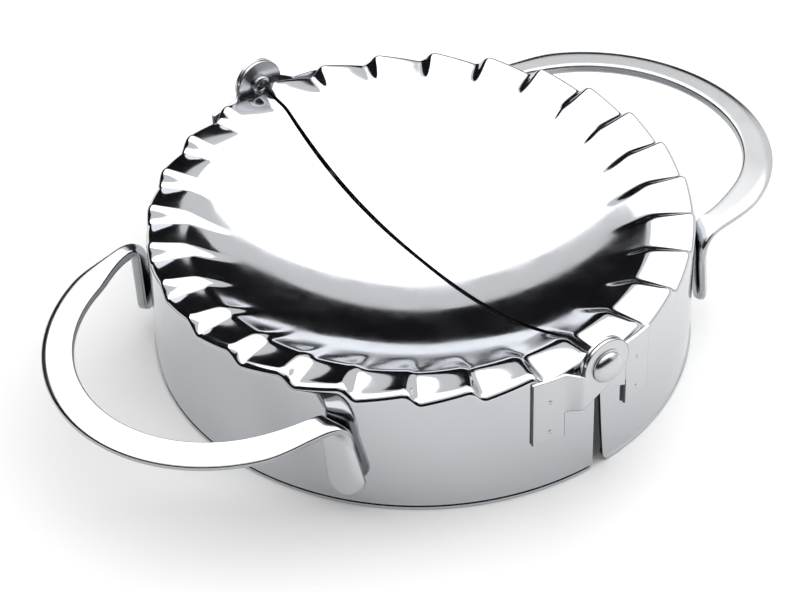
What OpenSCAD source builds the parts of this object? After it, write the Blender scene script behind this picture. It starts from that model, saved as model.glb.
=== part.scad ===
// Hinged press that cuts a dough disc, folds it over its filling and crimps the edge.
// It stands open and flat on its cutting skirt. +Z is up, +Y runs along the hinge axis,
// and the left half is on the -X side. The origin is the centre of the cutting circle,
// on the surface that the press stands on. All sizes are in millimetres.

/* [Press body] */
// Outside diameter of the cutting skirt
press_d = 120; // [100:1:150]
// Height of the skirt wall up to the middle of the crimp waves
wall_h = 30; // [26:0.05:40]
// Thickness of the pressed sheet
sheet_t = 0.7; // [0.5:0.05:1]
// Outside radius of the shoulder between skirt and rim
shoulder_r = 1.1; // [1.05:0.05:2]
// Height of the sharpened band at the foot of the skirt
edge_h = 0.9; // [0.5:0.1:2]
// How far the sharpened band draws in at the very edge
edge_in = 0.2; // [0.1:0.05:0.4]

/* [Crimped rim] */
// Crimp waves around one half
waves = 14; // [10:1:18]
// Height of a wave above and below the mean rim
wave_h = 1.05; // [0.5:0.05:1.6]
// Share of a wave's length taken by its steep side
steep_share = 0.26; // [0.16:0.02:0.4]
// Radial width of the crimped rim, from the shoulder to the bowl
rim_w = 8; // [6:0.5:12]
// How far the rim slopes down towards the bowl
rim_drop = 0.6; // [0:0.1:1.5]
// Share of the wave height left where the rim meets the bowl
rim_fade = 0.3; // [0:0.05:0.6]

/* [Bowl] */
// Depth of the bowl below the inner side of the rim
bowl_depth = 12.5; // [8:0.5:18]
// Roundness of the bowl's flank; larger values give a flatter floor
bowl_power = 2.4; // [2:0.1:3.5]

/* [Gap between the halves] */
// Half of the gap between the halves, at the rim
half_gap = 0.46; // [0.3:0.02:1]
// How far the slanted skirt end leans back over the height of the wall
end_lean = 1.95; // [0:0.05:4]
// Corner radius at the foot of the slanted skirt end
lean_corner = 2.2; // [0.5:0.1:4]
// Corner radius at the foot of the upright skirt end
upright_corner = 1; // [0.5:0.1:4]

/* [Hinge plates] */
// Thickness of a hinge plate
plate_t = 0.8; // [0.6:0.1:1.2]
// Width of the part of a plate that is welded to the skirt
base_w = 7.5; // [6:0.1:12]
// Distance from the hinge axis to the near edge of an outer plate's welded base
outer_base_x = 8.4; // [7.4:0.1:12]
// Distance from the hinge axis to the near edge of an inner plate's welded base
inner_base_x = 7.6; // [7.4:0.1:12]
// Height of the welded base
base_h = 16.8; // [12:0.2:22]
// Depth of the arm that joins the base to the ear, where it leaves the base
arm_h = 10.2; // [8:0.2:11]
// Radius of the round ear
ear_r = 5.9; // [4.5:0.1:7]
// Distance of the base's upper edge below the hinge axis
plate_drop = 0.5; // [0.4:0.05:1.5]
// Height of the hinge axis above the mean rim
axis_rise = 0.2; // [0.15:0.05:1]

/* [Rivets] */
// Radius of a rivet's shank
shank_r = 1.9; // [1.2:0.1:2.5]
// Radius of the domed head
head_r = 3.8; // [3:0.1:5]
// Height of the domed head
head_h = 1.9; // [1:0.1:3]
// Radius of the clinched tail inside the ears
tail_r = 2.3; // [2:0.1:3]
// Length of the clinched tail
tail_l = 0.95; // [0.5:0.05:1]
// Radius of the hollow in the tail
hollow_r = 1.15; // [0.6:0.05:1.4]
// Depth of that hollow
hollow_l = 2.2; // [1:0.1:3]

/* [Handles] */
// Radius of the middle line of the round loop
loop_r = 35.7; // [30:0.1:40]
// Distance from the centre of the press to the centre of the loop
loop_x = 52.1; // [48:0.1:54]
// Sideways shift of the left loop towards the front, and of the right loop towards the back
loop_shift = 0.3; // [0:0.1:1.5]
// Angle of the loop, from its middle, at which it runs out into its arms
loop_end = 66; // [50:1:86]
// Width of the flat bar
bar_w = 6.4; // [5:0.1:8]
// Thickness of the flat bar
bar_t = 1.8; // [1.2:0.1:2.5]
// Height of the bar's middle plane at the loop's centre
bar_z = 24.8; // [20:0.1:26]
// Angle by which the loop slopes down away from the press
bar_tilt = 4.2; // [0:0.1:8]
// Angle by which an arm turns outwards where it meets its foot
arm_turn = 10; // [0:1:20]
// Angle of the middle of each foot from the middle of the half, where it leaves the bar
foot_angle = 36.6; // [34:0.1:40]
// Width of a foot where it leaves the bar
foot_top_w = 7.2; // [6:0.1:10]
// Width of a foot above its rounded lower end
foot_w = 8.4; // [7:0.1:10]
// Height of the rounded lower end above the table
foot_z = 5.4; // [3:0.1:12]
// Sideways shift of a foot's lower end towards the hinge
foot_shift = 1.6; // [0:0.1:2.5]
// Length of the bend between bar and foot along the strip's inner edge
bend_in = 1.8; // [1.6:0.1:3]
// Length of the same bend along the outer edge
bend_out = 6.4; // [1.6:0.1:8]

/* [Clearances] */
// Seam between a welded foot or base and the skirt
weld_gap = 0.02; // [0.01:0.01:0.05]
// Axial play between the ears and along the rivets
ear_play = 0.1; // [0.05:0.05:0.3]
// Radial play of a rivet's shank in the ears
pin_play = 0.05; // [0.02:0.01:0.1]
// Free space between the skirt and the rivet's tail
tail_gap = 0.25; // [0.2:0.05:1]
// Free space between the inner ear and the bend of the outer plate
bend_gap = 0.4; // [0.3:0.05:1]

/* [Hidden] */
// Overlap of bodies that are joined into one piece
joint_lap = 0.01;
// Rounding of the edges at the rivet's clinched tail
tail_edge = 0.3;
// Slope of an arm's lower edge from its base up to its ear
arm_slope = 0.48;
// Flats around an ear or rivet, a shank's hole and a rivet's dome
ear_fn = 96;
shank_fn = 64;
dome_fn = 180;
// Colours of pressed sheet, handle bar, plates and rivets
sheet_colour = [0.78, 0.79, 0.82];
bar_colour = [0.72, 0.73, 0.76];
plate_colour = [0.7, 0.71, 0.74];
rivet_colour = [0.66, 0.67, 0.7];
// Number of flat steps along the gentle side of a wave
rise_steps = 4;
// Shoulder angles at which the profile has a point
shoulder_angles = [45, 90];
// Number of steps along the rim's slope and along the bowl
rim_steps = 2;
bowl_steps = 5;
// Length of skirt, in waves, over which the lean of the slanted end fades out
lean_waves = 1;
// Steps along the strip of a handle: half its loop, an arm, a bend and the foot's round end
loop_steps = 20;
arm_steps = 6;
bend_steps = 8;
tip_steps = 8;
// Angle of the round lower end at which its short flat starts
tip_end = 84;
skirt_r = press_d / 2;
rim_r = skirt_r - shoulder_r;
bowl_r = rim_r - rim_w;
rim_z = wall_h + shoulder_r;
bowl_z = rim_z - rim_drop;
axis_z = rim_z + axis_rise;
wave_l = PI * skirt_r / waves;

// Layers along the hinge axis, measured from the middle of the press outwards
tail_y = skirt_r + tail_gap;
inner_ear_y = tail_y + tail_l + ear_play;
outer_ear_y = inner_ear_y + plate_t + ear_play;
head_y = outer_ear_y + plate_t + ear_play;

// Height of a crimp wave at position u, counted in waves, from -1 at a trough to 1 at a crest.
// It is odd about u = 0, so the crests of one half meet the troughs of the other when it folds.
function wave(u) =
  let (w = u - floor(u), s = steep_share / 2)
  w < s ? -w / s
  : w < 1 - s ? -1 + 2 * (w - s) / (1 - 2 * s)
  : (1 - w) / s;

// Positions of the columns of points along one half, counted in waves
wave_steps = [0, for (k = [0 : rise_steps]) steep_share / 2 + (1 - steep_share) * k / rise_steps];
columns = [for (i = [0 : waves - 1]) for (s = wave_steps) i + s, waves];

// Height of the bowl's upper surface at radius r, and the vertical thickness of its sheet there
function bowl_at(r) = bowl_z - bowl_depth * (1 - pow(r / bowl_r, bowl_power));
function bowl_slope(r) = bowl_depth * bowl_power / bowl_r * pow(r / bowl_r, bowl_power - 1);
function bowl_t(r) = sheet_t * sqrt(1 + pow(bowl_slope(r), 2));

// Profile of the sheet from the foot of the skirt to the bowl: radius, height, share of the wave
outer_profile = [
  [skirt_r - edge_in, 0, 0],
  [skirt_r, edge_h, 0],
  [skirt_r, wall_h, 1],
  for (a = shoulder_angles) [rim_r + shoulder_r * cos(a), wall_h + shoulder_r * sin(a), 1],
  for (i = [1 : rim_steps])
    let (f = i / rim_steps) [rim_r - rim_w * f, rim_z - rim_drop * f, 1 - (1 - rim_fade) * f],
  for (i = [1 : bowl_steps - 1])
    let (r = bowl_r * (1 - i / bowl_steps)) [r, bowl_at(r), 0]];
inner_profile = [
  [skirt_r - sheet_t, 0, 0],
  [skirt_r - sheet_t, edge_h, 0],
  [skirt_r - sheet_t, wall_h, 1],
  for (a = shoulder_angles)
    [rim_r + (shoulder_r - sheet_t) * cos(a), wall_h + (shoulder_r - sheet_t) * sin(a), 1],
  for (i = [1 : rim_steps])
    let (f = i / rim_steps)
    [rim_r - rim_w * f, rim_z - sheet_t - rim_drop * f, 1 - (1 - rim_fade) * f],
  for (i = [1 : bowl_steps - 1])
    let (r = bowl_r * (1 - i / bowl_steps)) [r, bowl_at(r) - bowl_t(r), 0]];

// Rounding of the skirt's lower corners at its two ends
function corner_lift(u) =
  let (c = u < waves / 2 ? lean_corner : upright_corner)
  let (d = min(u, waves - u) * wave_l)
  d < c ? c - sqrt(c * c - pow(c - d, 2)) : 0;
function is_foot(p) = p[1] <= edge_h;

// Point of the left half for profile point p in the column at u. The columns fan out from
// the middle of the half's straight edge, and the skirt end at u = 0 leans back.
function shell_point(p, u) =
  let (lean = end_lean * max(0, 1 - p[1] / wall_h) * max(0, 1 - u / lean_waves))
  let (a = 90 + 180 * u / waves + lean / skirt_r * 180 / PI)
  let (reach = half_gap * cos(a) + sqrt(p[0] * p[0] - pow(half_gap * sin(a), 2)))
  [reach * cos(a) - half_gap, reach * sin(a),
   p[1] + wave_h * p[2] * wave(u) + (is_foot(p) ? corner_lift(u) : 0)];

// One half of the pressing: skirt, shoulder, crimped rim and half bowl in a single sheet
module half_shell() {
  n = len(outer_profile);
  m = len(columns);
  ring = 2 * n;
  points = [
    for (u = columns) each concat(
      [for (p = outer_profile) shell_point(p, u)],
      [for (i = [n - 1 : -1 : 0]) shell_point(inner_profile[i], u)]),
    [-half_gap, 0, bowl_at(0)],
    [-half_gap, 0, bowl_at(0) - sheet_t]];
  top_mid = m * ring;
  low_mid = top_mid + 1;
  faces = [
    for (j = [0 : m - 2]) for (i = [0 : ring - 1]) if (i != n - 1)
      each [[j * ring + i, (j + 1) * ring + i, (j + 1) * ring + (i + 1) % ring],
            [j * ring + i, (j + 1) * ring + (i + 1) % ring, j * ring + (i + 1) % ring]],
    for (j = [0 : m - 2]) [j * ring + n - 1, (j + 1) * ring + n - 1, top_mid],
    for (j = [0 : m - 2]) [j * ring + n, low_mid, (j + 1) * ring + n],
    for (i = [0 : n - 2]) each [
      [i, i + 1, ring - 1 - i],
      [i + 1, ring - 2 - i, ring - 1 - i]],
    [n - 1, top_mid, n],
    [top_mid, low_mid, n],
    for (i = [0 : n - 2])
      let (b = (m - 1) * ring) each [
        [b + i + 1, b + i, b + ring - 1 - i],
        [b + ring - 2 - i, b + i + 1, b + ring - 1 - i]],
    [top_mid, (m - 1) * ring + n - 1, (m - 1) * ring + n],
    [low_mid, top_mid, (m - 1) * ring + n]];
  polyhedron(points = points, faces = faces, convexity = 8);
}

// Hinge plates, drawn at the front for the half on the -X side
base_in = skirt_r + weld_gap;
base_top = axis_z - plate_drop;
arm_low = arm_h + plate_drop;
bend_x = ear_r + bend_gap;
// Where the arm's lower edge meets the ear: distance along the arm and angle on the ear
neck_x = 0.6 * ear_r;
neck_angle = -55;

// Welded base of a plate, curved to the skirt
module plate_base(base_x) {
  near = asin(base_x / skirt_r);
  far = asin((base_x + base_w) / skirt_r);
  translate([0, 0, base_top - base_h])
    rotate([0, 0, -90 - far])
      rotate_extrude(angle = far - near, $fn = 180)
        translate([base_in, 0])
          square([plate_t, base_h]);
}

// Arm and ear seen from above: from the base's edge it steps out to its layer, then runs flat
module arm_plan(base_x, layer_y) {
  base_y = sqrt(pow(base_in, 2) - pow(base_x, 2));
  start_x = base_x + joint_lap;
  polygon([
    [-start_x, -base_y], [-bend_x, -layer_y], [ear_r, -layer_y], [ear_r, -layer_y - plate_t],
    [-bend_x - plate_t / 2, -layer_y - plate_t], [-start_x, -base_y - plate_t]]);
}

// Arm and ear seen along the hinge axis, as x and height above the axis
module arm_side(base_x) {
  start_x = base_x + joint_lap;
  circle(r = ear_r, $fn = ear_fn);
  polygon([
    [-start_x, -arm_low], [-neck_x, -arm_low + (start_x - neck_x) * arm_slope],
    [ear_r * cos(neck_angle), ear_r * sin(neck_angle)], [0, 0], [0, -plate_drop],
    [-start_x, -plate_drop]]);
}

// One whole hinge plate, with its ear at distance layer_y from the middle of the press
module hinge_plate(base_x, layer_y) {
  difference() {
    union() {
      plate_base(base_x);
      intersection() {
        linear_extrude(height = axis_z + 2 * ear_r)
          arm_plan(base_x, layer_y);
        translate([0, 0, axis_z])
          rotate([90, 0, 0])
            linear_extrude(height = 2 * layer_y)
              arm_side(base_x);
      }
    }
    translate([0, -layer_y + plate_t, axis_z])
      rotate([90, 0, 0])
        cylinder(r = shank_r + pin_play, h = 3 * plate_t, $fn = shank_fn);
  }
}

// Radius of curvature of the domed head, from its height and its rim
dome_r = (head_r * head_r + head_h * head_h) / (2 * head_h);
// Heights at which the rivet's tail ends and its head begins
tail_end = tail_y + tail_l;
head_start = head_y + joint_lap;

// Rivet on the hinge axis at the front: radius and distance from the middle of the press
module rivet_profile() {
  difference() {
    union() {
      polygon([
        [0, tail_y], [tail_r - tail_edge, tail_y], [tail_r, tail_y + tail_edge],
        [tail_r, tail_end], [shank_r, tail_end], [shank_r, head_start], [0, head_start]]);
      intersection() {
        translate([0, head_y + head_h - dome_r])
          circle(r = dome_r, $fn = dome_fn);
        translate([0, head_y])
          square([head_r, 2 * head_h]);
      }
    }
    translate([-hollow_r, tail_y - hollow_l])
      square([2 * hollow_r, 2 * hollow_l]);
    polygon([
      [0, tail_y - tail_edge], [hollow_r + 2 * tail_edge, tail_y - tail_edge],
      [hollow_r, tail_y + tail_edge], [0, tail_y + tail_edge]]);
  }
}

module rivet() {
  translate([0, 0, axis_z])
    rotate([90, 0, 0])
      rotate_extrude($fn = ear_fn)
        rivet_profile();
}

// The handle is one flat strip. Each station along it holds the middle of its inner edge, the
// middle of its outer edge and its direction of travel. The loop lies in a plane that slopes.
function unit(v) = v / norm(v);
function mirror_y(v) = [v[0], -v[1], v[2]];
function blend(p, q, f) = p * (1 - f) + q * f;
// Smooth curve from p to q that leaves along u and arrives along v
function smooth(p, q, u, v, f) =
  let (reach = norm(q - p) / 3, p1 = p + u * reach, q1 = q - v * reach)
  blend(blend(blend(p, p1, f), blend(p1, q1, f), f), blend(blend(p1, q1, f), blend(q1, q, f), f), f);
// Rounded corner at c between the directions u and v, which starts and ends at distance d
function corner(c, u, v, d, f) = blend(blend(c - u * d, c, f), blend(c, c + v * d, f), f);

// Point and direction on the sloping plane of the bar, from x and y seen from above
function on_bar(x, y) = [x, y, bar_z + tan(bar_tilt) * (x + loop_x)];
function along_bar(x, y) = unit([x, y, tan(bar_tilt) * x]);

// Foot at the front of the left half: down its middle plane, and across it towards the hinge
down = [0, 0, -1];
across = [sin(foot_angle), -cos(foot_angle), 0];
foot_mid = (skirt_r + weld_gap + bar_t / 2) * [-cos(foot_angle), -sin(foot_angle), 0];
foot_in = foot_mid - across * foot_top_w / 2;
foot_out = foot_mid + across * foot_top_w / 2;
corner_in = on_bar(foot_in[0], foot_in[1]);
corner_out = on_bar(foot_out[0], foot_out[1]);
tip_mid = foot_mid + across * foot_shift - down * (foot_z + foot_w / 2);
arrive = along_bar(cos(arm_turn), -sin(arm_turn));
leave = along_bar(sin(loop_end), -cos(loop_end));
loop_in = loop_r - bar_w / 2;
loop_out = loop_r + bar_w / 2;

// Stations of the front side of the strip, for a loop whose centre is shifted to the front
function loop_point(r, a, shift) = on_bar(-loop_x - r * cos(a), -r * sin(a) - shift);
function loop_station(a, shift) =
  [loop_point(loop_in, a, shift), loop_point(loop_out, a, shift), along_bar(sin(a), -cos(a))];
function arm_station(f, shift) = [
  smooth(loop_point(loop_in, loop_end, shift), corner_in - arrive * bend_in, leave, arrive, f),
  smooth(loop_point(loop_out, loop_end, shift), corner_out - arrive * bend_out, leave, arrive, f),
  unit(blend(leave, arrive, f))];
function bend_station(f) = [
  corner(corner_in, arrive, down, bend_in, f),
  corner(corner_out, arrive, down, bend_out, f),
  unit(blend(arrive, down, f))];
function tip_station(a) =
  let (m = tip_mid + down * sin(a) * foot_w / 2, h = across * cos(a) * foot_w / 2)
  [m - h, m + h, down];

// Stations from the middle of the loop to the foot's lower end
function side_stations(shift) = [
  for (k = [0 : loop_steps]) loop_station(loop_end * k / loop_steps, shift),
  for (k = [1 : arm_steps]) arm_station(k / arm_steps, shift),
  for (k = [1 : bend_steps]) bend_station(k / bend_steps),
  for (k = [0 : tip_steps]) tip_station(tip_end * k / tip_steps)];
back_side = side_stations(-loop_shift);
stations = [
  for (k = [len(back_side) - 1 : -1 : 1])
    let (s = back_side[k]) [mirror_y(s[0]), mirror_y(s[1]), -mirror_y(s[2])],
  each side_stations(loop_shift)];

// The handle of the left half: a flat round loop whose ends bend down into two welded feet
module handle() {
  m = len(stations);
  points = [
    for (s = stations)
      let (n = unit(cross(s[1] - s[0], s[2])) * bar_t / 2)
      each [s[0] + n, s[1] + n, s[1] - n, s[0] - n]];
  faces = [
    for (j = [0 : m - 2]) for (i = [0 : 3]) each [
      [4 * j + i, 4 * j + (i + 1) % 4, 4 * j + 4 + (i + 1) % 4],
      [4 * j + i, 4 * j + 4 + (i + 1) % 4, 4 * j + 4 + i]],
    [3, 2, 1, 0],
    [4 * m - 4, 4 * m - 3, 4 * m - 2, 4 * m - 1]];
  polyhedron(points = points, faces = faces, convexity = 6);
}

// The right half is the left one turned about +Z, and so are the back plates and rivet
module half_turn() {
  rotate([0, 0, 180])
    children();
}

module left_shell() {
  color(sheet_colour) half_shell();
}

module right_shell() {
  color(sheet_colour) half_turn() half_shell();
}

module left_handle() {
  color(bar_colour) handle();
}

module right_handle() {
  color(bar_colour) half_turn() handle();
}

module front_outer_plate() {
  color(plate_colour) hinge_plate(outer_base_x, outer_ear_y);
}

module front_inner_plate() {
  color(plate_colour) mirror([1, 0, 0]) hinge_plate(inner_base_x, inner_ear_y);
}

module back_outer_plate() {
  color(plate_colour) half_turn() hinge_plate(outer_base_x, outer_ear_y);
}

module back_inner_plate() {
  color(plate_colour) half_turn() mirror([1, 0, 0]) hinge_plate(inner_base_x, inner_ear_y);
}

module front_rivet() {
  color(rivet_colour) rivet();
}

module back_rivet() {
  color(rivet_colour) half_turn() rivet();
}

left_shell();
right_shell();
left_handle();
right_handle();
front_outer_plate();
front_inner_plate();
back_outer_plate();
back_inner_plate();
front_rivet();
back_rivet();
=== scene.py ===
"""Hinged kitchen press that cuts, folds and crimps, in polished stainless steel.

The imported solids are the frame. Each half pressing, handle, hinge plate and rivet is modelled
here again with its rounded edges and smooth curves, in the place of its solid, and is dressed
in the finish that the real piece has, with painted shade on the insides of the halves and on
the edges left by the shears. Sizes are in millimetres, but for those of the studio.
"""

import logging
import math
from collections.abc import Iterable
from dataclasses import dataclass
from enum import Enum
from functools import cached_property

import bmesh
import bpy
from bmesh.types import BMEdge, BMesh, BMVert
from bpy.types import Material, Node, NodeSocket, NodeTree, Object, World
from mathutils import Matrix, Vector


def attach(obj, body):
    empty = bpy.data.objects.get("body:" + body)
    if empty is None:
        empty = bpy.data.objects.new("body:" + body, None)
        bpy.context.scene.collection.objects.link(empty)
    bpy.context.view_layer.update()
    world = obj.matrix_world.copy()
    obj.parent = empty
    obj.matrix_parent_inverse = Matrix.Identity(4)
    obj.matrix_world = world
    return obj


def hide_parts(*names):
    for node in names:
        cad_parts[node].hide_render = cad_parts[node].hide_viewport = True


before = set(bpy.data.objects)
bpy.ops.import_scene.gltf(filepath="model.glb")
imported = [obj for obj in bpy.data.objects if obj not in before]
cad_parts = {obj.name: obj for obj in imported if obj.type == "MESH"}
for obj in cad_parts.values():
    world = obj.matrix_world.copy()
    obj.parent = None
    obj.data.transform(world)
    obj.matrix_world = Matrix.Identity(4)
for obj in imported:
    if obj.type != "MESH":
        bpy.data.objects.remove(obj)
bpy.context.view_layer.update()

LOG = logging.getLogger("press")
MM = 0.001
# Sizes that pieces share, in millimetres: outside radius of the skirt, seam under a welded
# piece and height of the hinge axis.
SKIRT_R = 60.0
WELD_GAP = 0.02
AXIS_Z = 31.3
# Direction that the photograph was taken from, as a turn about +Z.
VIEW_AZIMUTH = math.radians(-36.0)
# Points closer together than this, in millimetres, become one.
MERGE_MM = 1e-4
# A cut takes points that are this near to its plane, in millimetres, as lying on it.
ON_PLANE_MM = 1e-5
Point = tuple[float, float]


class Half(Enum):
    """The two halves of the press: the body that each rides on and its turn about +Z."""

    LEFT = ("left", "left_half", 0.0)
    RIGHT = ("right", "right_half", math.pi)

    @property
    def turn(self) -> Matrix:
        """Turn about +Z that carries the left half's shape onto this half."""
        return Matrix.Rotation(self.value[2], 4, "Z")


class Layer(Enum):
    """Which of the two ears of a hinge a plate carries."""

    OUTER = "outer"
    INNER = "inner"


def linear(hex_colour: str) -> tuple[float, float, float, float]:
    """Turn an sRGB hex colour into the linear colour that the nodes take.

    Args:
        hex_colour: Six hex digits after a hash sign.

    Returns:
        Red, green, blue and an alpha of one.
    """
    def channel(start: int) -> float:
        """Linear value of the colour whose two digits start here."""
        value = int(hex_colour[start:start + 2], 16) / 255
        return value / 12.92 if value <= 0.04045 else ((value + 0.055) / 1.055) ** 2.4

    return channel(1), channel(3), channel(5), 1.0


def blend(low: float, high: float, share: float) -> float:
    """Value at a share of the way from low to high."""
    return low + (high - low) * share


def ease(low: float, high: float, value: float) -> float:
    """Smooth step of a value between two limits, from 0 to 1."""
    share = min(1.0, max(0.0, (value - low) / (high - low)))
    return share * share * (3 - 2 * share)


def add_node(tree: NodeTree, kind: str, settings: dict | None = None,
             links: dict | None = None) -> Node:
    """Add a node with its settings and links.

    Args:
        tree: Node tree of the material or world.
        kind: Blender's name of the node type.
        settings: Attributes by name, and input values by the input's name or number.
        links: Output sockets by the name or number of the input that they feed.

    Returns:
        The new node.
    """
    node = tree.nodes.new(kind)
    for key, value in (settings or {}).items():
        if isinstance(key, str) and hasattr(node, key):
            setattr(node, key, value)
        else:
            node.inputs[key].default_value = value
    for key, socket in (links or {}).items():
        tree.links.new(socket, node.inputs[key])
    return node


def fresh_tree(owner: Material | World) -> NodeTree:
    """Switch an owner's nodes on and empty its tree.

    Args:
        owner: Material or world that gets new nodes.

    Returns:
        The owner's node tree, empty.
    """
    owner.use_nodes = True
    owner.node_tree.nodes.clear()
    return owner.node_tree


def spin_line(mesh_data: BMesh, points: list[tuple], **settings: object) -> None:
    """Draw a line through points and spin it, with the settings of Blender's own spin.

    Args:
        mesh_data: Mesh to draw in.
        points: The line's points, in order.
        settings: Centre, axis, angle and the other settings of the spin.
    """
    line = [mesh_data.verts.new(point) for point in points]
    edges = [mesh_data.edges.new(pair) for pair in zip(line, line[1:])]
    bmesh.ops.spin(mesh_data, geom=line + edges, **settings)


def cut_across(mesh_data: BMesh, places: Iterable[float]) -> None:
    """Cut a mesh across X at each of the places, so that it can bend there.

    Args:
        mesh_data: Mesh to cut.
        places: Where on X the cuts go.
    """
    for place in places:
        bmesh.ops.bisect_plane(
            mesh_data, geom=mesh_data.verts[:] + mesh_data.edges[:] + mesh_data.faces[:],
            plane_co=(place, 0, 0), plane_no=(1, 0, 0), dist=ON_PLANE_MM)


@dataclass(frozen=True)
class PolishedSteel:
    """Chrome-nickel stainless steel sheet or bar with a buffed finish.

    Its colour is that of bare chromium steel, a neutral grey that mirrors what surrounds it.
    The sheet is never quite flat: drawing and bending leave long ripples, and buffing leaves a
    haze that changes from place to place, so that reflections bend and soften a little.
    """

    name: str
    colour: str
    roughness: float
    haze: float
    ripple_mm: float
    scratch_mm: float
    scratch_height_mm: float
    ripple_height_mm: float = 0.006
    patch_mm: float = 9.0
    patch_range: Point = (0.35, 0.7)

    def build(self) -> Material:
        """Make the material.

        Returns:
            Material that reads Object coordinates only.
        """
        material = bpy.data.materials.new(self.name)
        tree = fresh_tree(material)
        place = add_node(tree, "ShaderNodeTexCoord").outputs["Object"]
        # Long ripples of the drawn or bent metal, which make reflections sway.
        ripple = add_node(tree, "ShaderNodeTexNoise", {
            "Scale": 1 / (self.ripple_mm * MM), "Detail": 1.0, "Roughness": 0.4,
        }, {"Vector": place})
        # Fine buffing marks. Real ones are finer than the render shows, so they are coarser here.
        scratch = add_node(tree, "ShaderNodeTexNoise", {
            "Scale": 1 / (self.scratch_mm * MM), "Detail": 3.0, "Roughness": 0.6,
        }, {"Vector": place})
        # Haze of the buffing compound and of handling, in patches some millimetres wide.
        patch = add_node(tree, "ShaderNodeTexNoise", {
            "Scale": 1 / (self.patch_mm * MM), "Detail": 4.0, "Roughness": 0.65,
        }, {"Vector": place})
        clear, hazy = self.patch_range
        rough = add_node(tree, "ShaderNodeMapRange", {
            "From Min": clear, "From Max": hazy,
            "To Min": self.roughness, "To Max": self.roughness + self.haze,
        }, {"Value": patch.outputs["Fac"]})
        sway = add_node(tree, "ShaderNodeBump", {
            "Strength": 1.0, "Distance": self.ripple_height_mm * MM,
        }, {"Height": ripple.outputs["Fac"]})
        grain = add_node(tree, "ShaderNodeBump", {
            "Strength": 1.0, "Distance": self.scratch_height_mm * MM,
        }, {"Height": scratch.outputs["Fac"], "Normal": sway.outputs["Normal"]})
        shader = add_node(tree, "ShaderNodeBsdfPrincipled", {
            "Base Color": linear(self.colour), "Metallic": 1.0,
        }, {"Roughness": rough.outputs["Result"], "Normal": grain.outputs["Normal"]})
        add_node(tree, "ShaderNodeOutputMaterial", None, {"Surface": shader.outputs["BSDF"]})
        return material


# Deep-drawn sheet, mirror-buffed: clear reflections that sway a little along the skirt.
DRAWN_SHEET = PolishedSteel(
    "buffed_stainless_sheet", "#BEC0C4", roughness=0.06, haze=0.07,
    ripple_mm=18.0, scratch_mm=0.9, scratch_height_mm=0.0003)
# Inside of the pressing, left as rolled: duller than the bright outside, and painted a darker grey
# as the shade in the press's dark inside.
SHEET_INSIDE_AND_SHADE = PolishedSteel(
    "mill_finish_inside_and_painted_shade", "#96979A", roughness=0.26, haze=0.10,
    ripple_mm=12.0, scratch_mm=0.6, scratch_height_mm=0.0010)
# Flat bar, buffed after bending: clear on its faces, a little softer than the sheet.
FLAT_BAR = PolishedSteel(
    "buffed_stainless_bar", "#C5C6C8", roughness=0.13, haze=0.06,
    ripple_mm=12.0, scratch_mm=0.8, scratch_height_mm=0.0004, ripple_height_mm=0.007)
# Side of the bar as slit from strip and only lightly ground: greyer and softer than the faces.
SLIT_SIDE = PolishedSteel(
    "ground_stainless_side", "#A6A7A9", roughness=0.20, haze=0.08,
    ripple_mm=6.0, scratch_mm=0.5, scratch_height_mm=0.0010)
# Stamped plate, tumbled and buffed: softer reflections than the drawn sheet.
STAMPED_PLATE = PolishedSteel(
    "tumbled_stainless_plate", "#BFC0C3", roughness=0.20, haze=0.08,
    ripple_mm=10.0, scratch_mm=0.8, scratch_height_mm=0.0004)
# Edge left by the shears: unpolished, darker and matt, and painted darker still as the shade in the
# gaps beside the skirt, so that it draws a dark line round a plate.
SHEARED_EDGE_AND_SHADE = PolishedSteel(
    "sheared_edge_and_painted_shade", "#5A5B5D", roughness=0.30, haze=0.15,
    ripple_mm=6.0, scratch_mm=0.3, scratch_height_mm=0.0020, ripple_height_mm=0.004)
# Cold-headed rivet, tumbled: a bright dome with a soft highlight.
RIVET_STEEL = PolishedSteel(
    "tumbled_stainless_rivet", "#BEBFC2", roughness=0.18, haze=0.10,
    ripple_mm=5.0, scratch_mm=0.5, scratch_height_mm=0.0008, ripple_height_mm=0.005)


def finish_piece(mesh_data: BMesh, name: str, half: Half, node: str,
                 materials: list[Material], smooth_deg: float = 40.0) -> Object:
    """Turn a bmesh in millimetres into a finished piece of the scene.

    Args:
        mesh_data: The shape, drawn for its place on the press, in millimetres.
        name: Name of the new piece.
        half: Half of the press that the piece belongs to.
        node: Solid that the piece stands for.
        materials: Finishes of the piece, in the order that its faces number them.
        smooth_deg: Angle between faces above which an edge stays sharp.

    Returns:
        The piece, which rides on its body.
    """
    bmesh.ops.scale(mesh_data, vec=(MM, MM, MM), verts=mesh_data.verts)
    mesh = bpy.data.meshes.new(name)
    mesh_data.to_mesh(mesh)
    mesh_data.free()
    for polygon in mesh.polygons:
        polygon.use_smooth = True
    mesh.set_sharp_from_angle(angle=math.radians(smooth_deg))
    for material in materials:
        mesh.materials.append(material)
    piece = bpy.data.objects.new(name, mesh)
    bpy.context.scene.collection.objects.link(piece)
    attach(piece, half.value[1])
    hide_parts(node)
    LOG.info("%s: %d faces, on %s", name, len(mesh.polygons), half.value[1])
    return piece


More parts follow.
